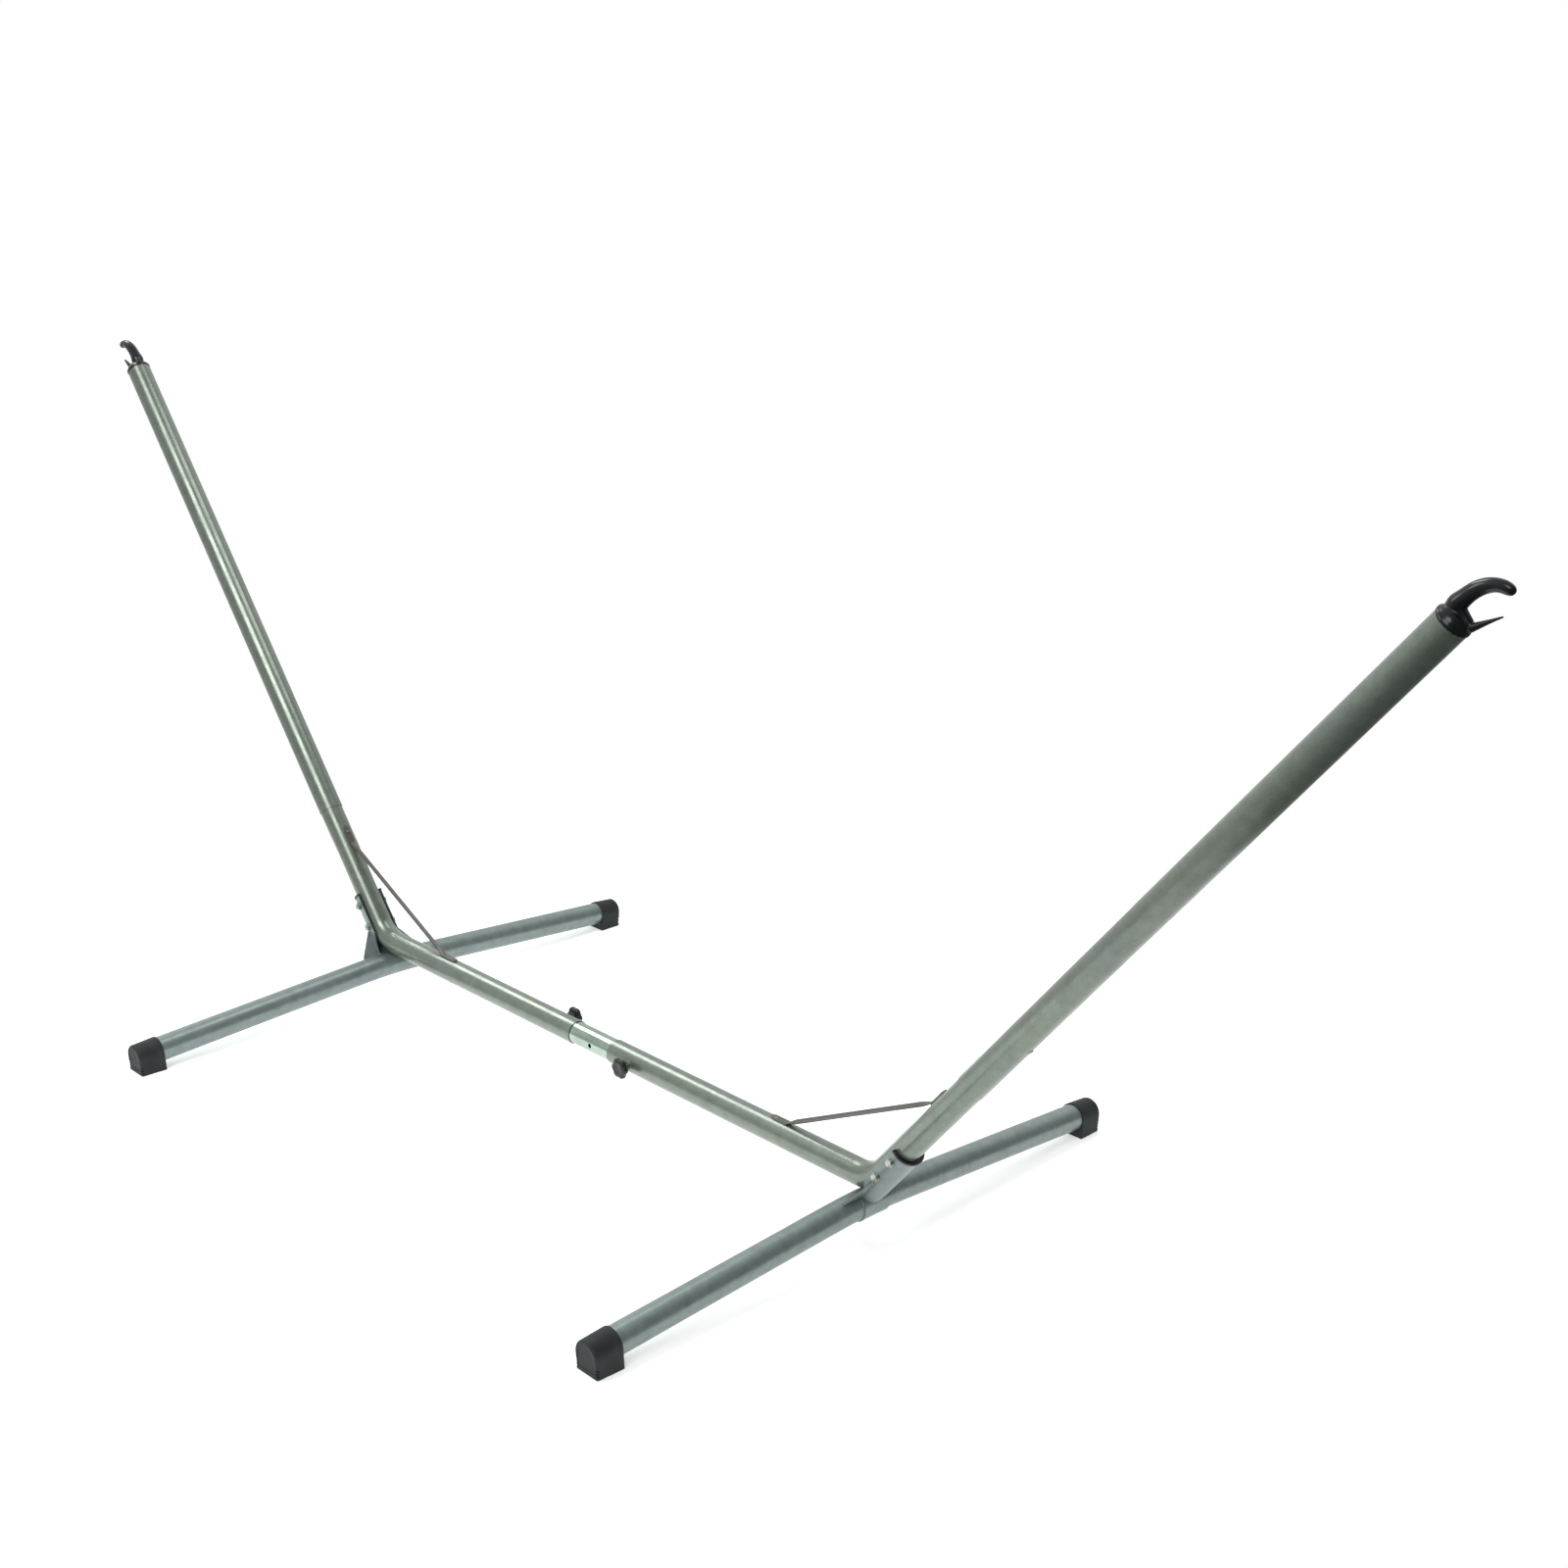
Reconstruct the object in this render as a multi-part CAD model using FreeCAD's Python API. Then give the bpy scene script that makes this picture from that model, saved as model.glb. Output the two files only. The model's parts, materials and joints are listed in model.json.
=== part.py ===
import FreeCAD, Part
import math
import os

from FreeCAD import Placement, Rotation, Vector

# Freestanding steel hammock stand. Two bent tubes stand on arched cross feet and meet over a sliding
# inner tube in the middle. An upper arm slips over each bent tube and carries a plastic hammock hook.
# Millimetres; X runs along the stand, Y across it, Z up; the origin is on the floor under the middle.
# Frame "a" stands on the +X side. Frame "b" is the same frame turned half a turn about Z, with a
# slightly shorter base rail.

# ---- driving dimensions -------------------------------------------------------------------------
FOOT_X = 711.0              # middle of the stand to the plane of each cross foot
FOOT_OD = 50.0
FOOT_WALL = 1.5
FOOT_SLOPE = 3.68           # degrees that each half of a foot falls towards its end
FOOT_APEX_Z = 71.0          # height where the axes of the two halves would meet
FOOT_BEND_R = 1200.0        # gentle bend at the middle of the foot
FOOT_END_Y = 606.0          # end of the foot tube, inside its cap

RAIL_OD = 48.0
RAIL_WALL = 1.5
RAIL_Z = 116.2              # axis of the base rail
CORNER_X = 731.5            # where the rail axis and the arm axis would meet
ARM_ANGLE = 50.6            # degrees above the horizontal
BEND_R = 85.0
STUB_END = 465.0            # end of the bent tube, along the arm axis from the corner
INNER_ENDS = {"a": 44.0, "b": 73.0}     # middle of the stand to the end of each bent tube

ARM_OD = 50.8
ARM_WALL = 1.2
ARM_SEAM = 315.0            # lower end of the upper arm, along the arm axis
ARM_TOP = 1464.5            # upper end of the upper arm

SLIDER_OD = 44.5
SLIDER_WALL = 1.5
SLIDER_HALF = 240.0
HOLE_R = 4.5
HOLE_PITCH = 58.0
KNOB_BACK = 63.0            # clamp knob and the hole that it faces, behind the bent tube's end

CAP_LENGTH = 53.0
CAP_END_WALL = 6.0
CAP_MOUTH_HALF = 27.4
CAP_FACE_HALF = 24.2
CAP_BEVEL = 3.0             # depth of the bevel around the end face
CAP_PANEL_RIM = 4.0         # rim around the sunk panel of the end face
CAP_PANEL_DEPTH = 1.2
CAP_RIBS = 3                # grip grooves at each lower corner
CAP_RIB_PITCH = 5.0
CAP_RIB_CUT = 2.4
CAP_RIB_DEPTH = 2.4         # along the diagonal of the corner

SADDLE_OD = 60.0
SADDLE_WALL = 2.5
SADDLE_TOP = 108.0          # along the arm axis from the corner
SADDLE_FOOT = -46.0         # its lower end, inside the cross foot
SADDLE_CHEEK = 8.0          # height of the cheeks above the arm axis
SADDLE_WRAP = 30.0          # half width of the saddle's tail, which wraps round the outer side of the foot
GUSSET_DEPTH = 11.0         # underside of the gussets, to the outer side of the arm axis
GUSSET_THICK = 4.0
GUSSET_REACH = 68.0         # outer corner of the gussets, along Y
LINER_LIP = 4.0
LINER_FOOT = 42.0
BOLT_STATIONS = (38.0, 88.0)
BOLT_DROP = 4.5             # bolts lie this far to the outer side of the arm axis
BOLT_R = 4.0
HEX_FLATS = 13.0

ROD_R = 4.5
ROD_ARM_T = 223.5           # upper corner of the brace rod, along the arm axis
ROD_RAIL_X = 517.0          # lower corner of the brace rod
ROD_TAB = 42.0
ROD_TAB_WIDTH = 13.0
ROD_TAB_THICK = 3.0

RUN = 0.05                  # running clearance
GAP = 0.3                   # clearance between separate bodies

X, Y, Z = Vector(1, 0, 0), Vector(0, 1, 0), Vector(0, 0, 1)
# Arm space has X up along the arm axis from the corner, Y across, and Z towards the inner side.
ARM_SPACE = Placement(Vector(CORNER_X, 0, RAIL_Z), Rotation(Y, -ARM_ANGLE))
TURN_B = Placement(Vector(0, 0, 0), Rotation(Z, 180))


# ---- helpers ------------------------------------------------------------------------------------
def rod(start, end, radius):
    return Part.makeCylinder(radius, (end - start).Length, start, end - start)


def ring(start, end, outer, inner):
    over = (end - start).normalize()
    return rod(start, end, outer).cut(rod(start - over, end + over, inner))


def box(low, high):
    size = high - low
    return Part.makeBox(size.x, size.y, size.z, low)


def rounded_path(points, radius):
    """Straight runs through the points, with one tangent arc at each inner point."""
    edges, start = [], points[0]
    for before, corner, after in zip(points, points[1:], points[2:]):
        back, ahead = (before - corner).normalize(), (after - corner).normalize()
        half = back.getAngle(ahead) / 2
        tangent = radius / math.tan(half)
        crown = corner + (back + ahead).normalize() * (radius / math.sin(half) - radius)
        edges.append(Part.LineSegment(start, corner + back * tangent).toShape())
        start = corner + ahead * tangent
        edges.append(Part.Arc(corner + back * tangent, crown, start).toShape())
    edges.append(Part.LineSegment(start, points[-1]).toShape())
    return Part.Wire(edges)


def bar_along(points, bend, radius):
    profile = Part.Wire(Part.makeCircle(radius, points[0], points[1] - points[0]))
    return rounded_path(points, bend).makePipeShell([profile], True, False)


def tube_along(points, bend, outer_d, wall):
    return bar_along(points, bend, outer_d / 2).cut(bar_along(points, bend, outer_d / 2 - wall))


def prism(corners, direction):
    return Part.Face(Part.makePolygon(corners + corners[:1])).extrude(direction)


def hexagon(centre, direction, flats):
    """Hexagonal prism from centre along direction, with its corners turned down like a real head."""
    axis = Vector(direction).normalize()
    across = flats / math.sqrt(3)
    corners = [Vector(across * math.cos(math.radians(60 * i)), across * math.sin(math.radians(60 * i)), 0)
               for i in range(6)]
    head = prism(corners, Vector(0, 0, direction.Length))
    dome = Part.makeCone(across + direction.Length, flats / 2 - 0.4, direction.Length)
    head = head.common(dome)
    head.Placement = Placement(centre, Rotation(Z, axis))
    return head


def in_arm_space(shape):
    moved = shape.copy()
    moved.Placement = ARM_SPACE.multiply(moved.Placement)
    return moved


def group(shapes):
    return Part.makeCompound(shapes)


# ---- cross foot and its caps --------------------------------------------------------------------
def foot_point(y):
    return Vector(FOOT_X, y, FOOT_APEX_Z - abs(y) * math.tan(math.radians(FOOT_SLOPE)))


FOOT_POINTS = [foot_point(-FOOT_END_Y), foot_point(0), foot_point(FOOT_END_Y)]
FOOT_SOLID = bar_along(FOOT_POINTS, FOOT_BEND_R, FOOT_OD / 2)


def foot_tube():
    return tube_along(FOOT_POINTS, FOOT_BEND_R, FOOT_OD, FOOT_WALL)


def arch_wire(x, half, drop):
    low_left, low_right = Vector(x, -half, -drop), Vector(x, half, -drop)
    right, left = Vector(x, half, 0), Vector(x, -half, 0)
    return Part.Wire([
        Part.LineSegment(low_left, low_right).toShape(),
        Part.LineSegment(low_right, right).toShape(),
        Part.Arc(right, Vector(x, 0, half), left).toShape(),
        Part.LineSegment(left, low_left).toShape()])


def foot_cap(side):
    """Arched rubber cap on the foot tube's end; side is +1 or -1 along Y."""
    mouth, face = CAP_END_WALL - CAP_LENGTH, CAP_END_WALL
    bevel = face - CAP_BEVEL
    near_face = CAP_FACE_HALF + 2.2
    below_floor = 40.0
    panel_arch = arch_wire(face - CAP_PANEL_DEPTH, CAP_FACE_HALF - CAP_PANEL_RIM, 24.0)
    body = Part.makeLoft([arch_wire(mouth, CAP_MOUTH_HALF, below_floor),
                          arch_wire(bevel, near_face, below_floor),
                          arch_wire(face, CAP_FACE_HALF, below_floor)], True, True)
    bore = rod(Vector(mouth - 1, 0, 0), Vector(GAP, 0, 0), FOOT_OD / 2 + RUN)
    panel = Part.Face(panel_arch).extrude(Vector(2, 0, 0))
    body = body.cut(bore).cut(panel)
    notch_half, lowest = 8.0, -26.4
    notch_out = (notch_half - CAP_RIB_DEPTH) / math.sqrt(2)
    for rib in range(CAP_RIBS):
        for corner in (-1, 1):
            notch = box(Vector(-notch_half, -notch_half, 0), Vector(notch_half, notch_half, CAP_RIB_CUT))
            centre = Vector(bevel + notch_out, corner * (near_face + notch_out), lowest + CAP_RIB_PITCH * rib)
            notch.Placement = Placement(centre, Rotation(Z, 45))
            body = body.cut(notch)
    end = foot_point(side * FOOT_END_Y)
    outward = (end - foot_point(0)).normalize()
    yaw = Rotation(Z, 90 * side)
    pitch = Rotation(yaw.multVec(X), outward)
    body.Placement = Placement(end, pitch.multiply(yaw))
    floor_slab = box(Vector(FOOT_X - 60, -700, -60), Vector(FOOT_X + 60, 700, 0))
    return body.cut(floor_slab)


# ---- saddle on the foot, its gussets, liner and bolts ------------------------------------------------
def u_channel(start, end, radius, cheek):
    """Solid of U section in arm space: round on the outer side, flat cheeks on the inner side."""
    round_part = rod(Vector(start, 0, 0), Vector(end, 0, 0), radius)
    cheeks = box(Vector(start, -radius, 0), Vector(end, radius, cheek))
    over = box(Vector(start, -radius, cheek), Vector(end, radius, radius + 1))
    return round_part.fuse(cheeks).cut(over)


def bolt_holes(radius):
    reach = SADDLE_OD
    return group([rod(Vector(t, -reach, -BOLT_DROP), Vector(t, reach, -BOLT_DROP), radius)
                  for t in BOLT_STATIONS])


def saddle_tail():
    """The saddle's tail: half a collar round the outer side of the foot, open where the bent tube lies."""
    collar = tube_along(FOOT_POINTS, FOOT_BEND_R, FOOT_OD + 2 * SADDLE_WALL, SADDLE_WALL)
    outer_side = box(Vector(FOOT_X, -SADDLE_WRAP, 0), Vector(FOOT_X + FOOT_OD, SADDLE_WRAP, RAIL_Z))
    lying_tube = rod(Vector(SADDLE_FOOT, 0, 0), Vector(SADDLE_TOP, 0, 0), SADDLE_OD / 2 - SADDLE_WALL)
    return collar.common(outer_side).cut(in_arm_space(lying_tube))


SADDLE_TAIL = saddle_tail()


def saddle():
    """U-shaped cradle welded on the cross foot, with its cheeks cut away under the rail."""
    outer = u_channel(SADDLE_FOOT, SADDLE_TOP, SADDLE_OD / 2, SADDLE_CHEEK)
    inner = u_channel(SADDLE_FOOT - 1, SADDLE_TOP + 1, SADDLE_OD / 2 - SADDLE_WALL, SADDLE_CHEEK + 1)
    side, above, below = -SADDLE_OD, SADDLE_CHEEK + 0.1, SADDLE_FOOT - 14
    sloped = prism([Vector(18, side, above), Vector(below, side, above), Vector(below, side, -16),
                    Vector(-24, side, -12)], Vector(0, 2 * SADDLE_OD, 0))
    shape = outer.cut(inner).cut(sloped).cut(bolt_holes(BOLT_R + GAP))
    return in_arm_space(shape).cut(FOOT_SOLID).fuse(SADDLE_TAIL).removeSplitter()


def saddle_gusset(side):
    """Flat triangular plate from the saddle's flank down and out to the cross foot."""
    depth, top, knee = -GUSSET_DEPTH, 30.0, -24.0
    flank = side * math.sqrt((SADDLE_OD / 2) ** 2 - depth ** 2)
    reach = side * GUSSET_REACH
    corners = [Vector(top, flank, depth), Vector(top, flank + side * 4, depth), Vector(knee, reach, depth),
               Vector(SADDLE_FOOT, reach, depth), Vector(SADDLE_FOOT, flank, depth)]
    plate = in_arm_space(prism(corners, Vector(0, 0, GUSSET_THICK)))
    keep_out = in_arm_space(rod(Vector(SADDLE_FOOT - 14, 0, 0), Vector(SADDLE_TOP, 0, 0), SADDLE_OD / 2))
    return plate.cut(keep_out).cut(FOOT_SOLID).cut(SADDLE_TAIL)


def saddle_liner():
    """Plastic liner between the saddle and the bent tube, with a lip over the saddle's upper rim."""
    outer_r = SADDLE_OD / 2 - SADDLE_WALL - RUN
    inner_r = RAIL_OD / 2 + 0.1
    sheet = u_channel(LINER_FOOT, SADDLE_TOP + LINER_LIP, outer_r, SADDLE_CHEEK)
    lip = u_channel(SADDLE_TOP, SADDLE_TOP + LINER_LIP, SADDLE_OD / 2 + 1.2, SADDLE_CHEEK)
    shape = sheet.fuse(lip).cut(bolt_holes(BOLT_R + GAP))
    hollow = u_channel(LINER_FOOT - 1, SADDLE_TOP + LINER_LIP + 1, inner_r, SADDLE_CHEEK + 1)
    return in_arm_space(shape.cut(hollow)).cut(CORNER_SOLID_LOOSE)


def saddle_fasteners():
    """Through bolts with plain washers and nuts; returns bolts, washers and nuts as three groups."""
    washer, head, nut, tail, washer_r = 1.6, 4.6, 5.0, 1.4, 8.0
    flank = SADDLE_OD / 2
    bolts, washers, nuts = [], [], []
    for t in BOLT_STATIONS:
        face_y = flank + washer
        seat, far = Vector(t, -face_y, -BOLT_DROP), Vector(t, face_y, -BOLT_DROP)
        shank = rod(seat, far + Y * (nut + tail), BOLT_R)
        bolts.append(hexagon(seat, Y * -head, HEX_FLATS).fuse(shank))
        washers.append(ring(seat, Vector(t, -flank, -BOLT_DROP), washer_r, BOLT_R + 0.2))
        washers.append(ring(Vector(t, flank, -BOLT_DROP), far, washer_r, BOLT_R + 0.2))
        bored = rod(far - Y, far + Y * (nut + 1), BOLT_R + RUN)
        nuts.append(hexagon(far, Y * nut, HEX_FLATS).cut(bored))
    return [in_arm_space(group(shapes)) for shapes in (bolts, washers, nuts)]


# ---- bent tube, upper arm and brace rod ---------------------------------------------------------------
def arm_point(t, z=0.0):
    return ARM_SPACE.multVec(Vector(t, 0, z))


def bent_points(inner_end):
    return [Vector(inner_end, 0, RAIL_Z), Vector(CORNER_X, 0, RAIL_Z), arm_point(STUB_END)]


def corner_solid(extra):
    """Solid run of the bent tube around the corner, grown by extra, to cut its neighbours with."""
    return bar_along(bent_points(ROD_RAIL_X - 2 * ROD_TAB), BEND_R, RAIL_OD / 2 + extra)


CORNER_SOLID, CORNER_SOLID_LOOSE = corner_solid(RUN), corner_solid(0.1)
RIVET_RAIL_X = ROD_RAIL_X - 0.6 * ROD_TAB
RIVET_ARM_T = ROD_ARM_T + 0.6 * ROD_TAB
RIVET_R = 2.4
RIVET_HOLE_R = 2.5
STOP_T = STUB_END + GAP + RIVET_R


def rivet_holes(radius):
    down = Vector(RIVET_RAIL_X, 0, RAIL_Z)
    low = rod(down + Z * 10, down + Z * 40, radius)
    high = rod(arm_point(RIVET_ARM_T, 10), arm_point(RIVET_ARM_T, 40), radius)
    return low.fuse(high)


def base_tube(inner_end):
    knob_axis = Vector(inner_end + KNOB_BACK, 0, RAIL_Z)
    shape = tube_along(bent_points(inner_end), BEND_R, RAIL_OD, RAIL_WALL)
    shape = shape.cut(in_arm_space(bolt_holes(BOLT_R + GAP)))
    return shape.cut(rivet_holes(RIVET_HOLE_R)).cut(rod(knob_axis - Y * RAIL_OD, knob_axis, HOLE_R))


def upper_arm():
    shape = ring(Vector(ARM_SEAM, 0, 0), Vector(ARM_TOP, 0, 0), ARM_OD / 2, ARM_OD / 2 - ARM_WALL)
    return in_arm_space(shape.cut(rod(Vector(STOP_T, 0, -ARM_OD), Vector(STOP_T, 0, -10), RIVET_HOLE_R)))


def arm_stop_rivet():
    """Rivet through the underside of the upper arm; the bent tube's end rests on its tail."""
    skin, dome_r, head_r, tail = -ARM_OD / 2, 7.0, 4.6, 6.0
    head = Part.makeSphere(dome_r, Vector(STOP_T, 0, skin + dome_r - 2.4))
    head = head.common(rod(Vector(STOP_T, 0, skin - 3), Vector(STOP_T, 0, skin), head_r))
    shank = rod(Vector(STOP_T, 0, skin), Vector(STOP_T, 0, skin + tail), RIVET_R)
    return in_arm_space(head.fuse(shank))


def ellipse_wire(centre, across, half_across, up, half_up):
    """Ellipse in the plane of the two directions; the longer half axis has to come first."""
    normal = across.cross(up)
    major, minor = (half_across, half_up) if half_across > half_up else (half_up, half_across)
    along = across if half_across > half_up else up
    curve = Part.Ellipse(centre + along * major, centre + normal.cross(along) * minor, centre)
    return Part.Wire(curve.toShape())


def rod_tab(start, along, up):
    """Flattened end of the rod, lying along a tube and rounded at its tip."""
    side = along.cross(up).normalize() * (ROD_TAB_WIDTH / 2)
    tip = start + along * (ROD_TAB - ROD_TAB_WIDTH / 2)
    base = up * (-ROD_TAB_THICK / 2 - 1.2)
    height = up * (ROD_TAB_THICK + 1.2)
    plate = prism([start - side + base, tip - side + base, tip + side + base, start + side + base], height)
    return plate.fuse(Part.makeCylinder(ROD_TAB_WIDTH / 2, height.Length, tip + base, up))


def brace_rod():
    lift = RAIL_OD / 2 + ROD_TAB_THICK / 2
    low, high = Vector(ROD_RAIL_X, 0, RAIL_Z + lift), arm_point(ROD_ARM_T, lift)
    along = (high - low).normalize()
    taper = 26.0                # length over which the round rod turns into the flat tab
    low_round, high_round = low + along * taper, high - along * taper
    up = Y.cross(along) * -1
    arm_up = ARM_SPACE.Rotation.multVec(Z)
    arm_along = ARM_SPACE.Rotation.multVec(X)
    shape = rod(low_round, high_round, ROD_R)
    for knee, rounded in ((low, low_round), (high, high_round)):
        wires = [ellipse_wire(knee, Y, ROD_TAB_WIDTH / 2, up, ROD_TAB_THICK / 2),
                 Part.Wire(Part.makeCircle(ROD_R, rounded, along, 90, 450))]
        shape = shape.fuse(Part.makeLoft(wires, True, False))
    shape = shape.fuse(rod_tab(low + X * 2, X * -1, Z)).fuse(rod_tab(high - arm_along * 2, arm_along, arm_up))
    return shape.cut(CORNER_SOLID).cut(rivet_holes(RIVET_HOLE_R))


def brace_rivets():
    """Domed blind rivets through the rod's flattened ends and the tube wall."""
    seat_z = RAIL_OD / 2 + ROD_TAB_THICK
    skin_z = RAIL_OD / 2 - RAIL_WALL
    dome_r, dome_height, head_r, tail, tail_r = 8.5, 1.6, 4.8, 4.0, 3.6
    dome = Part.makeSphere(dome_r, Vector(0, 0, seat_z - dome_r + dome_height))
    dome = dome.common(rod(Vector(0, 0, seat_z), Vector(0, 0, seat_z + 3), head_r))
    shank = rod(Vector(0, 0, skin_z - tail), Vector(0, 0, seat_z), RIVET_R)
    tail = ring(Vector(0, 0, skin_z - tail), Vector(0, 0, skin_z - 0.6), tail_r, RIVET_R - 0.1)
    rivet = dome.fuse(shank).fuse(tail)
    low, high = rivet.copy(), rivet.copy()
    low.Placement = Placement(Vector(RIVET_RAIL_X, 0, RAIL_Z), Rotation())
    high.Placement = ARM_SPACE.multiply(Placement(Vector(RIVET_ARM_T, 0, 0), Rotation()))
    return group([low, high])


# ---- hammock hook -------------------------------------------------------------------------------------
# Stations of the horn's centre line: along the arm from the tube's end, outwards from the arm axis,
# and the radius of the round section there.
HORN = ((4.0, -9.5, 14.0), (18.0, -11.5, 13.2), (31.0, -11.6, 12.0), (51.0, -8.6, 10.8),
        (68.0, -1.0, 9.8), (78.6, 9.0, 8.9), (83.6, 18.5, 8.2), (85.2, 24.0, 6.6), (85.9, 27.0, 4.2),
        (86.1, 28.2, 1.6))
# Stations of the round ridge that fills the mouth's bottom, from the horn's foot to the tongue's root.
RIDGE = ((14.0, -8.0, 13.0), (14.5, 2.0, 11.0), (14.4, 9.0, 9.4), (13.2, 17.0, 8.4), (12.2, 21.0, 7.0))
# Stations of the keeper tongue: along, outwards, half thickness, half width.
TONGUE = ((13.0, 20.5, 6.4, 8.0), (27.0, 26.6, 4.3, 6.4), (42.0, 32.9, 2.5, 4.6), (55.5, 38.8, 1.3, 2.6))


def station_directions(points):
    """Unit tangent at each station, from its neighbours."""
    spans = zip(points[:1] + points[:-1], points[1:] + points[-1:])
    return [(ahead - back).normalize() for back, ahead in spans]


def hook():
    rim_r, rim_low, rim_high, dome_top = 26.4, 0.0, 5.0, 19.0
    outline = [Part.LineSegment(Vector(rim_low, 0, 0), Vector(rim_low, rim_r, 0)),
               Part.LineSegment(Vector(rim_low, rim_r, 0), Vector(rim_high, rim_r, 0)),
               Part.LineSegment(Vector(rim_high, rim_r, 0), Vector(rim_high + 1, rim_r - 1.4, 0)),
               Part.Arc(Vector(rim_high + 1, rim_r - 1.4, 0), Vector(14.5, 18.0, 0), Vector(dome_top, 0, 0)),
               Part.LineSegment(Vector(dome_top, 0, 0), Vector(rim_low, 0, 0))]
    profile = Part.Face(Part.Wire([edge.toShape() for edge in outline]))
    shape = profile.revolve(Vector(0, 0, 0), X, 360)
    plug = ring(Vector(-45, 0, 0), Vector(0.5, 0, 0), ARM_OD / 2 - ARM_WALL - RUN, ARM_OD / 2 - ARM_WALL - 4)
    shape = shape.fuse(plug)

    for stations in (HORN, RIDGE):
        centres = [Vector(t, 0, -s) for t, s, r in stations]
        circles = [Part.Wire(Part.makeCircle(r, centre, direction))
                   for centre, direction, (t, s, r) in zip(centres, station_directions(centres), stations)]
        shape = shape.fuse(Part.makeLoft(circles, True, False))

    spine = [Vector(t, 0, -s) for t, s, thick, wide in TONGUE]
    sections = [ellipse_wire(centre, Y, wide, Y.cross(direction) * -1, thick)
                for centre, direction, (t, s, thick, wide) in zip(spine, station_directions(spine), TONGUE)]
    shape = shape.fuse(Part.makeLoft(sections, True, False))
    top = in_arm_space(shape.removeSplitter())
    top.translate(ARM_SPACE.Rotation.multVec(X) * ARM_TOP)
    return top


# ---- sliding inner tube and clamp knobs ------------------------------------------------------------
def slider_tube():
    ends = [Vector(-SLIDER_HALF, 0, RAIL_Z), Vector(SLIDER_HALF, 0, RAIL_Z)]
    shape = ring(ends[0], ends[1], SLIDER_OD / 2, SLIDER_OD / 2 - SLIDER_WALL)
    for side, inner_end in ((1, INNER_ENDS["a"]), (-1, INNER_ENDS["b"])):
        for step in range(-1, 3):
            axis = Vector(side * (inner_end + KNOB_BACK - HOLE_PITCH * step), 0, RAIL_Z)
            shape = shape.cut(rod(axis, axis - Y * (side * SLIDER_OD), HOLE_R))
    return shape


NOSE_TIP = SLIDER_OD / 2 + GAP + 0.05
NOSE_LENGTH = 3.0
NOSE_R = 3.8
PEG_R = 1.5                 # peg of the nose, inside the screw
PEG_END = NOSE_TIP + 9.0
BOSS_TOP = RAIL_OD / 2 + 3.0
NECK_START = BOSS_TOP + 4.8
HEAD_START = NECK_START + 5.5
HEAD_THICK = 12.0
SCREW_END = HEAD_START + 8.0


def knob_at(distance):
    """Point on the clamp screw's axis, at this distance from the rail's axis, before it is moved along X."""
    return Vector(0, -distance, RAIL_Z)


def clamp_boss():
    """Threaded boss welded on the bent tube around the screw."""
    shape = ring(knob_at(BOSS_TOP), knob_at(RAIL_OD / 2 - 1.2), 8.0, BOLT_R + RUN)
    return shape.cut(rod(knob_at(0) - X * 20, knob_at(0) + X * 20, RAIL_OD / 2 + 0.02))


def clamp_nose():
    """Plastic nose that sits loose on the screw's tip and enters the adjusting hole."""
    chamfer = 0.8
    tip = Part.makeCone(NOSE_R - 0.6, NOSE_R, chamfer, knob_at(NOSE_TIP), Y * -1)
    body = rod(knob_at(NOSE_TIP + chamfer), knob_at(NOSE_TIP + NOSE_LENGTH), NOSE_R)
    return tip.fuse(body).fuse(rod(knob_at(NOSE_TIP + 1), knob_at(PEG_END), PEG_R))


def clamp_screw():
    start = NOSE_TIP + NOSE_LENGTH + GAP
    shape = rod(knob_at(start), knob_at(SCREW_END), BOLT_R)
    return shape.cut(rod(knob_at(start - 1), knob_at(PEG_END + 0.5), PEG_R + RUN))


def clamp_knob():
    lobes, head_r, scallop_r, scallop_at = 6, 20.5, 7.0, 25.2
    head = rod(knob_at(HEAD_START), knob_at(HEAD_START + HEAD_THICK), head_r)
    for i in range(lobes):
        turn = math.radians(360 * (i + 0.5) / lobes)
        offset = Vector(scallop_at * math.cos(turn), 0, scallop_at * math.sin(turn))
        head = head.cut(rod(knob_at(HEAD_START - 1) + offset, knob_at(HEAD_START + HEAD_THICK + 1) + offset,
                            scallop_r))
    crown_r, crown_sink = 30.0, 0.6
    rounded = Part.makeSphere(crown_r, knob_at(HEAD_START + HEAD_THICK - crown_r + crown_sink))
    under = Part.makeCone(17.0, 32.0, HEAD_THICK + 2, knob_at(HEAD_START), Y * -1)
    neck = Part.makeCone(9.0, 12.5, HEAD_START - NECK_START + 0.5, knob_at(NECK_START), Y * -1)
    shape = head.common(rounded).common(under).fuse(neck)
    return shape.cut(rod(knob_at(NECK_START - 1), knob_at(SCREW_END), BOLT_R))


# ---- build and write --------------------------------------------------------------------------------
def shared_parts():
    """Sub-parts that are alike in both frames, by name, placed on the +X side."""
    bolts, washers, nuts = saddle_fasteners()
    return {
        "foot_tube": foot_tube(), "foot_cap_left": foot_cap(-1), "foot_cap_right": foot_cap(1),
        "saddle": saddle(), "saddle_liner": saddle_liner(),
        "saddle_gusset_left": saddle_gusset(-1), "saddle_gusset_right": saddle_gusset(1),
        "saddle_bolts": bolts, "saddle_washers": washers, "saddle_nuts": nuts,
        "upper_arm": upper_arm(), "arm_stop_rivet": arm_stop_rivet(), "brace_rod": brace_rod(),
        "brace_rivets": brace_rivets(), "hook": hook()}


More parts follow.
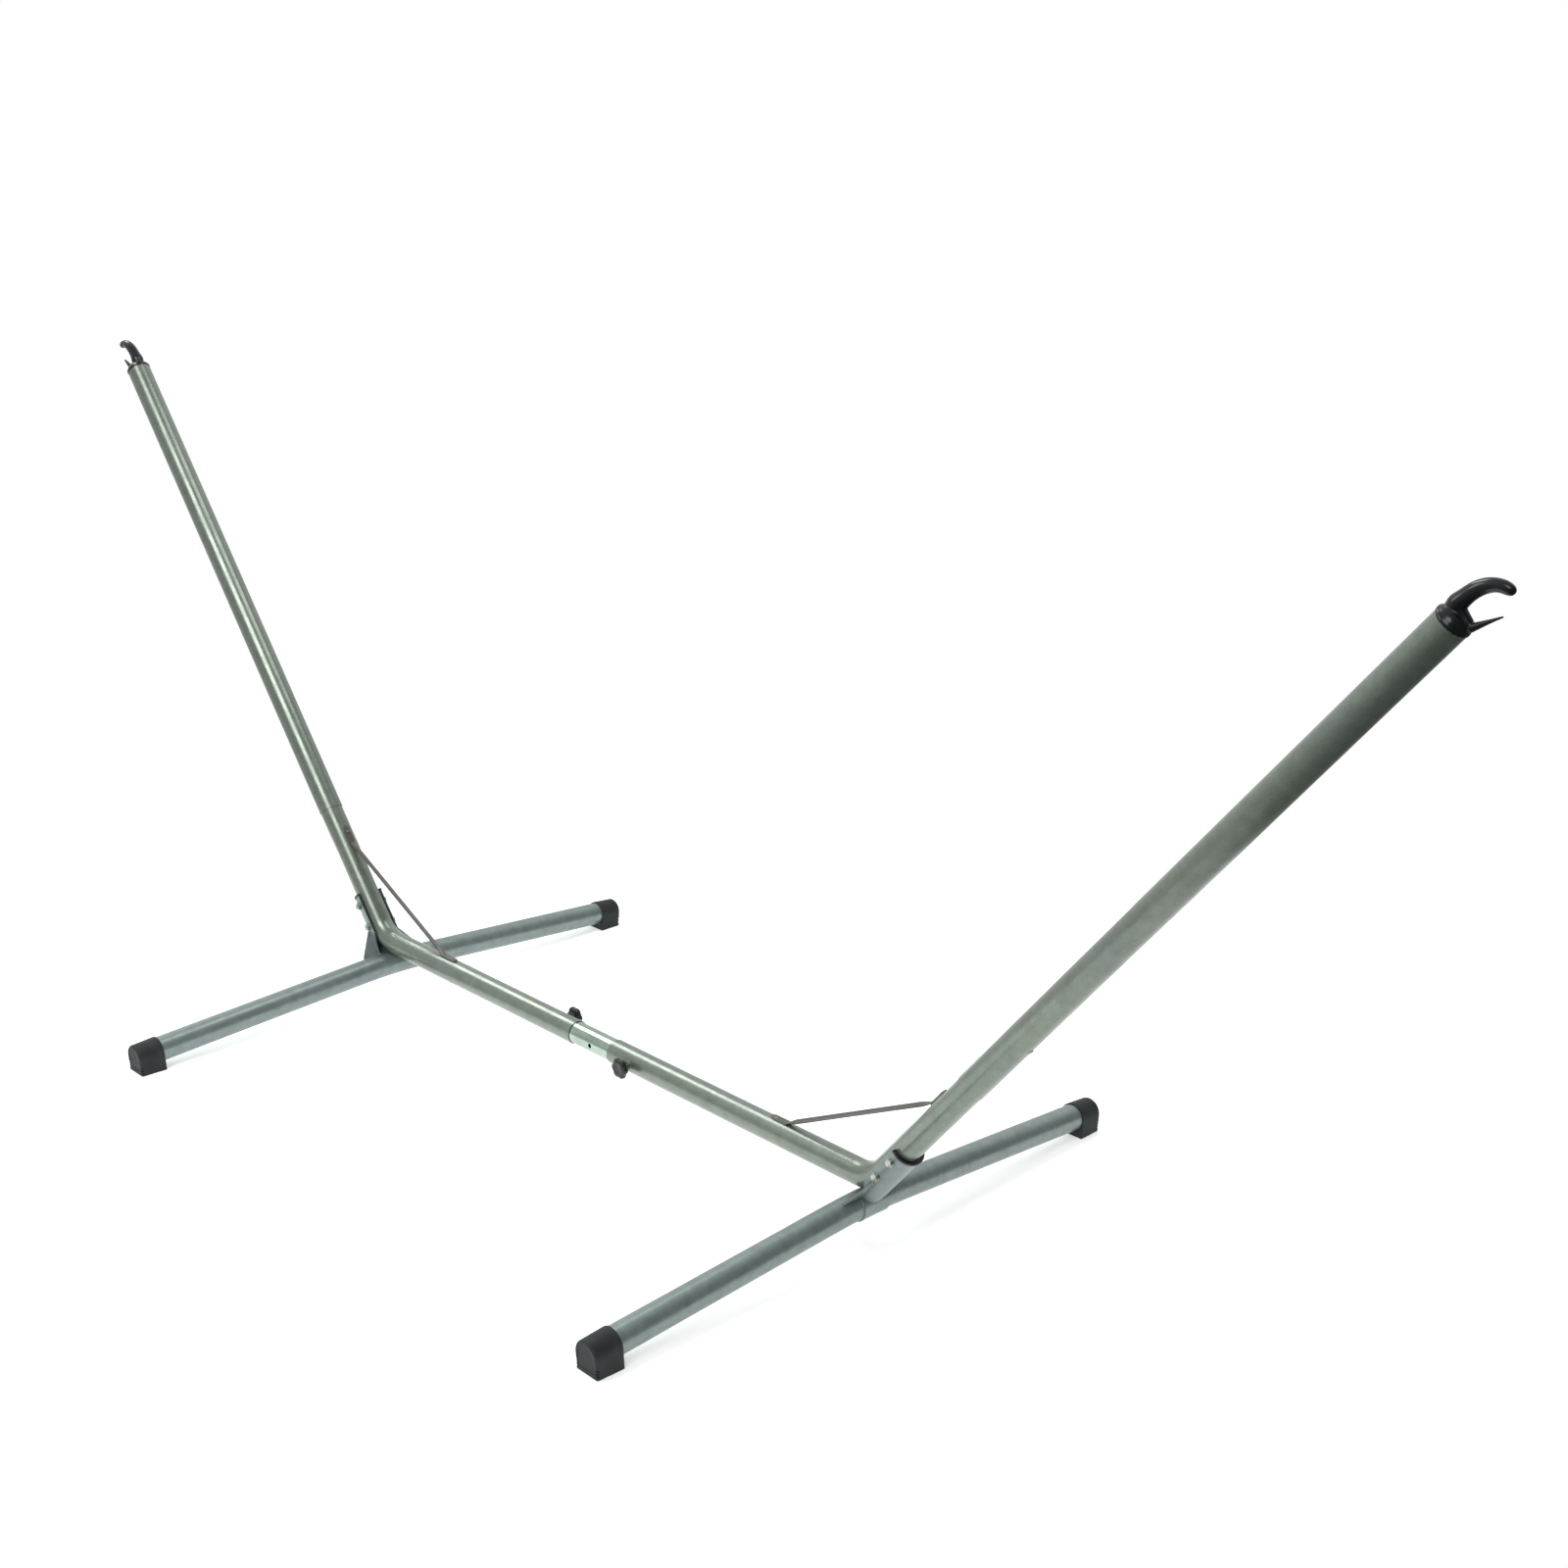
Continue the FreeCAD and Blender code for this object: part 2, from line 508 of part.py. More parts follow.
def rail_parts(inner_end):
    """The bent tube that ends this far from the middle of the stand, with its clamp."""
    clamp = {"clamp_boss": clamp_boss(), "clamp_nose": clamp_nose(), "clamp_screw": clamp_screw(),
             "clamp_knob": clamp_knob()}
    for shape in clamp.values():
        shape.translate(X * (inner_end + KNOB_BACK))
    return dict(clamp, base_tube=base_tube(inner_end))


def write(name, shape):
    if not shape.isValid():
        print("not valid:", name)
    print("%-24s solids %d  volume %.0f" % (name, len(shape.Solids), shape.Volume))
    shape.exportStep("parts/%s.step" % name)


os.makedirs("parts", exist_ok=True)
write("slider_tube", slider_tube())
alike = shared_parts()
for frame_letter, rail_end in INNER_ENDS.items():
    for part_name, part_shape in dict(alike, **rail_parts(rail_end)).items():
        placed = part_shape.copy()
        if frame_letter == "b":
            placed.Placement = TURN_B.multiply(placed.Placement)
        write("%s_%s" % (part_name, frame_letter), placed)
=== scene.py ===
import json
import math

import bmesh
import bpy
from mathutils import Matrix, Vector

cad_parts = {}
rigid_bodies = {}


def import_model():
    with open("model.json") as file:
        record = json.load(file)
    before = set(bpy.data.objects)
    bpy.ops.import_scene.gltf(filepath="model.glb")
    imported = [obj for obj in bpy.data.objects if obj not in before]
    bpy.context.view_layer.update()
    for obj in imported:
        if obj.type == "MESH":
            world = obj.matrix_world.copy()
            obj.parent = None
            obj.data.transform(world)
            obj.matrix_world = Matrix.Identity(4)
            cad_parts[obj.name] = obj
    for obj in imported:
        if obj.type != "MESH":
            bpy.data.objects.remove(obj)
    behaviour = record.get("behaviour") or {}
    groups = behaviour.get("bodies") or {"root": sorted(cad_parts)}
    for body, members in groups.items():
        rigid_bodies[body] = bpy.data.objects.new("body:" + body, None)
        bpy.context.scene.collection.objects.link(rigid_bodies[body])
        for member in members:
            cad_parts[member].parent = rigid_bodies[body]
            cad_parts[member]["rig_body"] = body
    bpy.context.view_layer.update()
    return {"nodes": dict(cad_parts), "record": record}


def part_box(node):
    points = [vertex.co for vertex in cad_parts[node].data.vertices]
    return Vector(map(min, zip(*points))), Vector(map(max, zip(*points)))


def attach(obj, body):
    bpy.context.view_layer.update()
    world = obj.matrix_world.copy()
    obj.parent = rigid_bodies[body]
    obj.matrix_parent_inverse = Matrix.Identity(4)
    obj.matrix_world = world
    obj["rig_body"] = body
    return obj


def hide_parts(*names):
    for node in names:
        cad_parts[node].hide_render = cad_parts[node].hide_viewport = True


# Looks of the steel hammock stand. Metres, in the CAD frame: X along the stand, Y across it, Z up.
# Weld beads and knobs are made for frame a, on the +X side, and again for frame b, turned half a turn
# about Z. Bolts and nuts are copied from their CAD nodes. All other shapes are the CAD nodes themselves.

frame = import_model()
nodes = frame["nodes"]
SLOT_OF = {part["node"]: part["material_slot"] for part in frame["record"]["subparts"]}

# ---- driving sizes, and the places worked out from the frame ----------------------------------------
MM = 0.001
RAIL_R = 24.0 * MM
ARM_R = 25.4 * MM
FOOT_R = 25.0 * MM
SADDLE_R = 30.0 * MM
ARM_ANGLE = math.radians(50.6)
ARM_UP = Vector((math.cos(ARM_ANGLE), 0, math.sin(ARM_ANGLE)))
ARM_IN = Vector((-math.sin(ARM_ANGLE), 0, math.cos(ARM_ANGLE)))
ACROSS = Vector((0, 1, 0))
RAIL_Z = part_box("base_tube_a")[0].z + RAIL_R
FOOT_X = (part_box("foot_tube_a")[0].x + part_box("foot_tube_a")[1].x) / 2
FOOT_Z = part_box("foot_tube_a")[1].z - FOOT_R
KNOB_X = {h: sum(corner.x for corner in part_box("clamp_screw_" + h)) / 2 for h in "ab"}
KNOB_TIP = -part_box("clamp_knob_a")[0].y
NECK_START = -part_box("clamp_knob_a")[1].y
FOOT_BEND_R = 1.2           # gentle bend at the middle of the foot
TAIL_WELD_Y = 30.4 * MM     # edge of the saddle's tail, along Y
GUSSET_TOP = -7.0 * MM      # upper face of the gussets, inwards from the arm's axis
GUSSET_END = 64.0 * MM      # outer end of the gussets' welds, along Y
GUSSET_WELD_TOP = 28.0 * MM     # upper end of these welds, along the arm's axis
HALF_TURN = Matrix.Rotation(math.pi, 4, "Z")


def corner_point():
    """Where the rail's and the arm's axes meet on frame a, worked out from the upper arm's lower end."""
    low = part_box("upper_arm_a")[0]
    lower_end = Vector((low.x + ARM_R * math.sin(ARM_ANGLE), 0, low.z + ARM_R * math.cos(ARM_ANGLE)))
    return lower_end - ARM_UP * ((lower_end.z - RAIL_Z) / ARM_UP.z)


CORNER = corner_point()


def arm_point(along, inward, across):
    """A point at these distances from the corner: up the arm's axis, inwards from it, and along Y."""
    return CORNER + ARM_UP * along + ARM_IN * inward + ACROSS * across


# ---- node materials -------------------------------------------------------------------------------
def node(tree, kind, settings=None, **inputs):
    """Adds a shader node. An input is a value, or another node's socket to link from."""
    made = tree.nodes.new("ShaderNode" + kind)
    for name, value in (settings or {}).items():
        setattr(made, name, value)
    for name, value in inputs.items():
        socket = made.inputs[name.replace("_", " ")]
        if isinstance(value, bpy.types.NodeSocket):
            tree.links.new(value, socket)
        else:
            socket.default_value = value
    return made


def noise(tree, scale, detail=2.0, stretch=(1, 1, 1)):
    """Noise in the object's own coordinates, stretched along an axis where its factor is small."""
    place = node(tree, "TexCoord").outputs["Object"]
    placed = node(tree, "Mapping", Vector=place, Scale=stretch).outputs[0]
    return node(tree, "TexNoise", Vector=placed, Scale=scale, Detail=detail).outputs[0]


def ramp(tree, factor, low, high, dark=0.0, light=1.0):
    """Maps factor from low..high to dark..light."""
    return node(tree, "MapRange", Value=factor, From_Min=low, From_Max=high, To_Min=dark,
                To_Max=light).outputs[0]


def blend(tree, factor, first, second, way="MIX"):
    """Mixes two colours. Each input is a value, or another node's socket."""
    mixed = tree.nodes.new("ShaderNodeMix")
    mixed.data_type, mixed.blend_type = "RGBA", way
    for socket, value in ((mixed.inputs[0], factor), (mixed.inputs[6], first), (mixed.inputs[7], second)):
        if isinstance(value, bpy.types.NodeSocket):
            tree.links.new(value, socket)
        else:
            socket.default_value = value
    return mixed.outputs[2]


def rgb(red, green, blue):
    return (red, green, blue, 1.0)


def material(name, **constants):
    """A material with one Principled shader; returns the material, its tree and the shader."""
    made = bpy.data.materials.new(name)
    made.use_nodes = True
    tree = made.node_tree
    tree.nodes.clear()
    shader = node(tree, "BsdfPrincipled", **constants)
    tree.links.new(shader.outputs[0], node(tree, "OutputMaterial").inputs[0])
    return made, tree, shader


def bump(tree, shader, *layers):
    """Stacks bump layers, each (height socket, height in metres), onto the shader's normal."""
    normal = None
    for height, depth in layers:
        layer = node(tree, "Bump", Height=height, Distance=depth, Strength=1.0)
        if normal:
            tree.links.new(normal, layer.inputs["Normal"])
        normal = layer.outputs[0]
    tree.links.new(normal, shader.inputs["Normal"])


def powder_coat(name, base, cool, flake, roughness):
    """Satin metallic powder coat: fine flake, slight orange peel, and a broad drift between two tints."""
    made, tree, shader = material(name, Metallic=0.6, Coat_Weight=0.35, Coat_Roughness=0.16, Coat_IOR=1.5)
    drift = ramp(tree, noise(tree, 5.0, 3.0), 0.35, 0.65)
    tint = blend(tree, drift, base, cool)
    grain = ramp(tree, noise(tree, 1800.0, 1.0), 0.35, 0.7)
    mottle = ramp(tree, noise(tree, 60.0, 4.0), 0.3, 0.7, 0.88, 1.08)
    flaked = blend(tree, grain, tint, flake)
    tree.links.new(blend(tree, 1.0, flaked, mottle, "MULTIPLY"), shader.inputs["Base Color"])
    smudge = ramp(tree, noise(tree, 22.0, 5.0), 0.3, 0.7, roughness - 0.05, roughness + 0.07)
    tree.links.new(smudge, shader.inputs["Roughness"])
    bump(tree, shader, (noise(tree, 420.0, 2.0), 0.000028), (noise(tree, 1500.0, 1.0), 0.000009))
    return made


def zinc(name, base, dull, brush, roughness):
    """Bright zinc plating. brush stretches its fine lines along the axes where it is small."""
    made, tree, shader = material(name, Metallic=1.0)
    lines = noise(tree, 900.0, 3.0, brush)
    cloud = ramp(tree, noise(tree, 35.0, 4.0), 0.35, 0.7)
    tone = blend(tree, cloud, base, dull)
    streak = ramp(tree, lines, 0.3, 0.7, 0.88, 1.05)
    tree.links.new(blend(tree, 1.0, tone, streak, "MULTIPLY"), shader.inputs["Base Color"])
    polish = ramp(tree, lines, 0.3, 0.7, roughness - 0.06, roughness + 0.1)
    tree.links.new(polish, shader.inputs["Roughness"])
    bump(tree, shader, (lines, 0.00003), (noise(tree, 300.0, 2.0), 0.00004))
    return made


def moulded(name, base, worn, roughness, grain_scale, grain_depth, **constants):
    """Moulded rubber or plastic: fine grain, cloudy gloss and a slightly paler bloom."""
    made, tree, shader = material(name, **constants)
    bloom = ramp(tree, noise(tree, 45.0, 5.0), 0.42, 0.75)
    speck = ramp(tree, noise(tree, grain_scale, 2.0), 0.35, 0.7, 0.85, 1.1)
    tree.links.new(blend(tree, 1.0, blend(tree, bloom, base, worn), speck, "MULTIPLY"),
                   shader.inputs["Base Color"])
    gloss = ramp(tree, noise(tree, 90.0, 4.0), 0.3, 0.7, roughness - 0.05, roughness + 0.08)
    tree.links.new(gloss, shader.inputs["Roughness"])
    bump(tree, shader, (noise(tree, grain_scale, 2.0), grain_depth), (noise(tree, 120.0, 2.0), 0.00005))
    return made


FINISHES = {
    "frame_powder_coat": powder_coat("frame_coat", rgb(0.150, 0.180, 0.140), rgb(0.140, 0.175, 0.155),
                                     rgb(0.25, 0.285, 0.24), 0.30),
    "foot_powder_coat": powder_coat("foot_coat", rgb(0.176, 0.222, 0.208), rgb(0.168, 0.218, 0.225),
                                    rgb(0.265, 0.32, 0.31), 0.41),
    "rod_coat": powder_coat("rod_coat", rgb(0.100, 0.095, 0.083), rgb(0.092, 0.090, 0.086),
                            rgb(0.15, 0.145, 0.13), 0.36),
    "zinc_tube": zinc("zinc_tube", rgb(0.45, 0.54, 0.46), rgb(0.33, 0.41, 0.35), (0.02, 1, 1), 0.15),
    "zinc_steel": zinc("zinc_steel", rgb(0.50, 0.53, 0.48), rgb(0.36, 0.39, 0.35), (1, 1, 1), 0.28),
    "rubber": moulded("rubber", rgb(0.0190, 0.0240, 0.0240), rgb(0.0300, 0.0360, 0.0360), 0.58, 1600.0,
                      0.00007, Specular_IOR_Level=0.25),
    "black_plastic": moulded("black_plastic", rgb(0.0065, 0.0080, 0.0080), rgb(0.0120, 0.0140, 0.0140),
                             0.38, 1400.0, 0.00006),
    "hook_plastic": moulded("hook_plastic", rgb(0.0025, 0.0035, 0.0055), rgb(0.0055, 0.0075, 0.0105),
                            0.24, 1100.0, 0.00003, Specular_IOR_Level=0.4, Coat_Weight=0.15,
                            Coat_Roughness=0.12)}

for part in nodes.values():
    for place in part.material_slots:
        place.material = FINISHES[place.material.name]


# ---- pieces ---------------------------------------------------------------------------------------
MERGE_DISTANCE = 0.02 * MM
FLAT_ANGLE = math.radians(1.0)      # faces closer than this in angle are joined
EDGE_ANGLE = math.radians(32)       # edges sharper than this are bevelled
SHARP_ANGLE = math.radians(38)      # edges sharper than this are shaded as edges
BEAD_SIDES = 10
RIPPLE_PITCH = 2.2 * MM


def new_piece(name, mesh, slot_name, body):
    """A smooth-shaded piece with the finish of a record slot, riding on a body."""
    piece = bpy.data.objects.new(name, mesh)
    bpy.context.scene.collection.objects.link(piece)
    mesh.materials.clear()
    mesh.materials.append(FINISHES[slot_name])
    mesh.shade_smooth()
    mesh.set_sharp_from_angle(angle=SHARP_ANGLE)
    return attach(piece, body)


def mesh_of(shape, name):
    """Turns a finished bmesh into a mesh."""
    mesh = bpy.data.meshes.new(name)
    shape.normal_update()
    shape.to_mesh(mesh)
    shape.free()
    return mesh


def crisp_copy(node_name, edge):
    """Stands for a CAD node, with its hard edges broken by a bevel of this width."""
    part = nodes[node_name]
    shape = bmesh.new()
    shape.from_mesh(part.data)
    shape.transform(part.matrix_world)
    bmesh.ops.remove_doubles(shape, verts=shape.verts, dist=MERGE_DISTANCE)
    bmesh.ops.dissolve_limit(shape, angle_limit=FLAT_ANGLE, verts=shape.verts, edges=shape.edges)
    hard = [line for line in shape.edges if line.is_manifold and line.calc_face_angle(0) > EDGE_ANGLE]
    bmesh.ops.bevel(shape, geom=hard, offset=edge, offset_type="OFFSET", segments=1, profile=0.5,
                    affect="EDGES", clamp_overlap=True)
    name = node_name + "_edged"
    made = new_piece(name, mesh_of(shape, name), SLOT_OF[node_name], part["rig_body"])
    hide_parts(node_name)


def bead(name, path, radius, closed, ripple):
    """Mesh of a weld bead along the path. Its radius waves a little, and its open ends are thinner."""
    shape = bmesh.new()
    rings, travelled = [], 0.0
    last = len(path) - 1
    for i, point in enumerate(path):
        before = path[i - 1] if closed or i else path[0]
        after = path[(i + 1) % len(path)] if closed or i < last else path[last]
        tangent = (after - before).normalized()
        side = side - tangent * side.dot(tangent) if rings else tangent.orthogonal()
        side = side.normalized()
        up = tangent.cross(side)
        taper = 1.0 if closed else min(1.0, 0.35 + 0.3 * min(i, last - i))
        r = radius * taper * (1 + ripple * math.sin(2 * math.pi * travelled / RIPPLE_PITCH))
        turns = [2 * math.pi * k / BEAD_SIDES for k in range(BEAD_SIDES)]
        rings.append([shape.verts.new(point + side * (r * math.cos(turn)) + up * (r * math.sin(turn)))
                      for turn in turns])
        travelled += (after - point).length
    join_rings(shape, rings, closed)
    return mesh_of(shape, name)


def join_rings(shape, rings, closed):
    """Skins the rings in turn, and closes the two ends or joins them to each other."""
    pairs = list(zip(rings, rings[1:])) + ([(rings[-1], rings[0])] if closed else [])
    for near, far in pairs:
        for k in range(len(near)):
            after = (k + 1) % len(near)
            shape.faces.new((near[k], near[after], far[after], far[k]))
    if not closed:
        shape.faces.new(rings[0][::-1])
        shape.faces.new(rings[-1])
    bmesh.ops.recalc_face_normals(shape, faces=shape.faces)


def on_both_frames(name, make_mesh, slot_name, body_stem, replaced=None):
    """Makes the piece on frame a, and again on frame b, turned half a turn. It can replace a CAD node."""
    for half in "ab":
        mesh = make_mesh("%s_%s" % (name, half), half)
        if half == "b":
            mesh.transform(HALF_TURN)
        made = new_piece("%s_%s" % (name, half), mesh, slot_name, "%s_%s" % (body_stem, half))
        if replaced:
            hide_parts("%s_%s" % (replaced, half))


# ---- weld beads -----------------------------------------------------------------------------------
BEAD_R = 1.7 * MM
GUSSET_BEAD_R = 0.8 * BEAD_R
BOSS_BEAD_R = 1.2 * MM
BOSS_WELD_R = 8.6 * MM      # radius of the bead's ring round a boss
RIPPLE, BOSS_RIPPLE = 0.16, 0.15        # waves of the beads, as a part of their radius
WELD_STEP = 0.6 * MM
TAIL_WELD_START, TAIL_WELD_TURN = -84, 160      # degrees round the foot, from its outermost line
TAIL_WELD_POINTS = 49
BOSS_WELD_POINTS = 72
FOOT_LINE_POINTS = 9


def evenly(path):
    """The path again with points a weld step apart."""
    made = [path[0]]
    for start, end in zip(path, path[1:]):
        steps = max(1, round((end - start).length / WELD_STEP))
        made += [start.lerp(end, (k + 1) / steps) for k in range(steps)]
    return made


def foot_meets(inward, across):
    """Where a line up the arm, at these offsets from the arm's axis, leaves the top of the cross foot."""
    spot = arm_point(0, inward, across)
    drop = across ** 2 / (2 * FOOT_BEND_R)
    offset = Vector((spot.x - FOOT_X, 0, spot.z - FOOT_Z + drop))
    reach = offset.dot(ARM_UP)
    inside = reach ** 2 - offset.length_squared + FOOT_R ** 2
    return spot + ARM_UP * (math.sqrt(inside) - reach) if inside > 0 else None


def tail_weld(side):
    """Bead down one edge of the saddle's tail, round the outer side of the cross foot."""
    def make(name, half):
        across = side * TAIL_WELD_Y
        centre = Vector((FOOT_X, across, FOOT_Z - across ** 2 / (2 * FOOT_BEND_R)))
        turns = [math.radians(TAIL_WELD_START + TAIL_WELD_TURN * k / (TAIL_WELD_POINTS - 1))
                 for k in range(TAIL_WELD_POINTS)]
        path = [centre + Vector((math.cos(turn), 0, math.sin(turn))) * FOOT_R for turn in turns]
        return bead(name, evenly(path), BEAD_R, False, RIPPLE)
    return make


def gusset_weld(side):
    """Bead down the saddle's flank and out along the cross foot, on the upper side of a gusset."""
    flank = SADDLE_R * math.cos(math.asin(GUSSET_TOP / SADDLE_R))

    def make(name, half):
        reaches = [flank + (GUSSET_END - flank) * k / (FOOT_LINE_POINTS - 1) for k in range(FOOT_LINE_POINTS)]
        foot_line = [foot_meets(GUSSET_TOP, side * reach) for reach in reaches]
        start = arm_point(GUSSET_WELD_TOP, GUSSET_TOP, side * flank)
        path = [start] + [point for point in foot_line if point]
        return bead(name, evenly(path), GUSSET_BEAD_R, False, RIPPLE)
    return make


on_both_frames("tail_weld_left", tail_weld(-1), "foot_powder_coat", "frame")
on_both_frames("tail_weld_right", tail_weld(1), "foot_powder_coat", "frame")
on_both_frames("gusset_weld_left", gusset_weld(-1), "foot_powder_coat", "frame")
on_both_frames("gusset_weld_right", gusset_weld(1), "foot_powder_coat", "frame")


def boss_weld(name, half):
    """Bead around the threaded boss of the clamp knob, on the bent tube."""
    ring = []
    for step in range(BOSS_WELD_POINTS):
        turn = 2 * math.pi * step / BOSS_WELD_POINTS
        x, z = BOSS_WELD_R * math.cos(turn), BOSS_WELD_R * math.sin(turn)
        ring.append(Vector((abs(KNOB_X[half]) + x, -math.sqrt(RAIL_R ** 2 - z ** 2), RAIL_Z + z)))
    return bead(name, ring, BOSS_BEAD_R, True, BOSS_RIPPLE)


on_both_frames("boss_weld", boss_weld, "frame_powder_coat", "frame")


# ---- clamp knobs ----------------------------------------------------------------------------------
KNOB_SIDES = 96
KNOB_LOBES = 6
LOBE_DEPTH = 0.135                          # how far the grip is cut in between lobes, of its radius
GRIP_START, GRIP_FULL = 12.0 * MM, 19.0 * MM    # radii between which the lobes grow to their full depth


def grip_radius(radius, turn):
    """Radius of the knob's head at this angle, cut in between the lobes."""
    grip = min(1.0, max(0.0, (radius - GRIP_START) / (GRIP_FULL - GRIP_START)))
    between = (0.5 - 0.5 * math.cos(KNOB_LOBES * turn)) ** 1.6
    return radius * (1 - LOBE_DEPTH * grip * between)


def lobed_knob(name, half):
    """Star knob: a short round neck under a head with six soft lobes and a shallow dished crown. The
    profile is (distance from the rail's axis, radius in millimetres) pairs."""
    base, top = NECK_START, KNOB_TIP
    head = base + 5.0 * MM
    profile = [(base, 4.1), (base, 8.4), (base + 0.4 * MM, 9.0), (head - 1.2 * MM, 10.4), (head, 12.6),
               (head + 0.5 * MM, 16.4), (head + 1.6 * MM, 18.9), (head + 3.4 * MM, 20.1),
               (head + 6.2 * MM, 20.4), (top - 3.4 * MM, 19.9), (top - 1.8 * MM, 18.6),
               (top - 0.7 * MM, 16.2), (top - 0.15 * MM, 13.2), (top, 10.6), (top - 0.2 * MM, 9.4),
               (top - 0.7 * MM, 8.4), (top - 0.9 * MM, 5.0), (top - 0.95 * MM, 0.6)]
    shape = bmesh.new()
    rings = []
    for distance, radius in profile:
        ring = []
        for k in range(KNOB_SIDES):
            turn = 2 * math.pi * k / KNOB_SIDES
            r = grip_radius(radius * MM, turn)
            ring.append(shape.verts.new((abs(KNOB_X[half]) + r * math.cos(turn), -distance,
                                         RAIL_Z + r * math.sin(turn))))
        rings.append(ring)
    join_rings(shape, rings, False)
    return mesh_of(shape, name)


on_both_frames("lobed_knob", lobed_knob, "black_plastic", "knob", replaced="clamp_knob")


# ---- edges of the moulded parts and the fasteners ---------------------------------------------------
HEX_EDGE = 0.25 * MM


def soften(part, voxel, rounds):
    """Rounds all edges of a moulded part: it is rebuilt in voxels of this size, then smoothed."""
    moulding = part.modifiers.new("moulding", "REMESH")
    moulding.mode, moulding.voxel_size, moulding.use_smooth_shade = "VOXEL", voxel, True
    softening = part.modifiers.new("softening", "SMOOTH")
    softening.factor, softening.iterations = 0.5, rounds


for half in "ab":
    soften(nodes["hook_" + half], 0.8 * MM, 16)
    soften(nodes["foot_cap_left_" + half], 0.7 * MM, 4)
    soften(nodes["foot_cap_right_" + half], 0.7 * MM, 4)
    crisp_copy("saddle_bolts_" + half, HEX_EDGE)
    crisp_copy("saddle_nuts_" + half, HEX_EDGE)


# ---- floor, light and camera ------------------------------------------------------------------------
FLOOR_R = 1.62
FLOOR_GLOW = 0.46       # lifts the floor to white, with only faint shadows
FLOOR_DROP = 0.5 * MM   # below the caps' flat faces
EYE = (2.882, -2.319, 1.823)
YAW, PITCH, ROLL = (math.radians(angle) for angle in (135.83, -17.69, 0.83))
LENS, SENSOR = 47.93, 36.0      # millimetres


def floor():
    """Plain pale disc under the stand."""
    shape = bmesh.new()
    bmesh.ops.create_circle(shape, cap_ends=True, radius=FLOOR_R, segments=96)
    mesh = mesh_of(shape, "floor")
    made, tree, shader = material("floor", Roughness=0.95, Specular_IOR_Level=0.1)
    tone = ramp(tree, noise(tree, 0.8, 3.0), 0.3, 0.7, 0.90, 0.93)
    tree.links.new(blend(tree, 1.0, rgb(1, 1, 1), tone, "MULTIPLY"), shader.inputs["Base Color"])
    shader.inputs["Emission Color"].default_value = rgb(1, 1, 1)
    shader.inputs["Emission Strength"].default_value = FLOOR_GLOW
    mesh.materials.append(made)
    slab = bpy.data.objects.new("floor", mesh)
    slab.location.z = -FLOOR_DROP
    bpy.context.scene.collection.objects.link(slab)


def sun(name, towards, strength, softness):
    """Distant light from a direction. Its softness is the angle it fills, in degrees."""
    light = bpy.data.lights.new(name, "SUN")
    light.energy, light.angle = strength, math.radians(softness)
    lamp = bpy.data.objects.new(name, light)
    lamp.rotation_mode = "QUATERNION"
    lamp.rotation_quaternion = Vector(towards).to_track_quat("Z", "Y")
    bpy.context.scene.collection.objects.link(lamp)


def softbox(name, place, aim, radius, power):
    """Round soft light at a place, turned to a point."""
    light = bpy.data.lights.new(name, "AREA")
    light.shape, light.size, light.energy = "DISK", 2 * radius, power
    lamp = bpy.data.objects.new(name, light)
    lamp.location = place
    lamp.rotation_mode = "QUATERNION"
    lamp.rotation_quaternion = (Vector(place) - Vector(aim)).to_track_quat("Z", "Y")
    bpy.context.scene.collection.objects.link(lamp)


def facing(tree, direction):
    """How squarely a direction of the surroundings lies along the given one, from -1 to 1."""
    product = node(tree, "VectorMath", {"operation": "DOT_PRODUCT"},
                   Vector=node(tree, "TexCoord").outputs["Generated"])
    product.inputs[1].default_value = Vector(direction).normalized()
    return product.outputs["Value"]


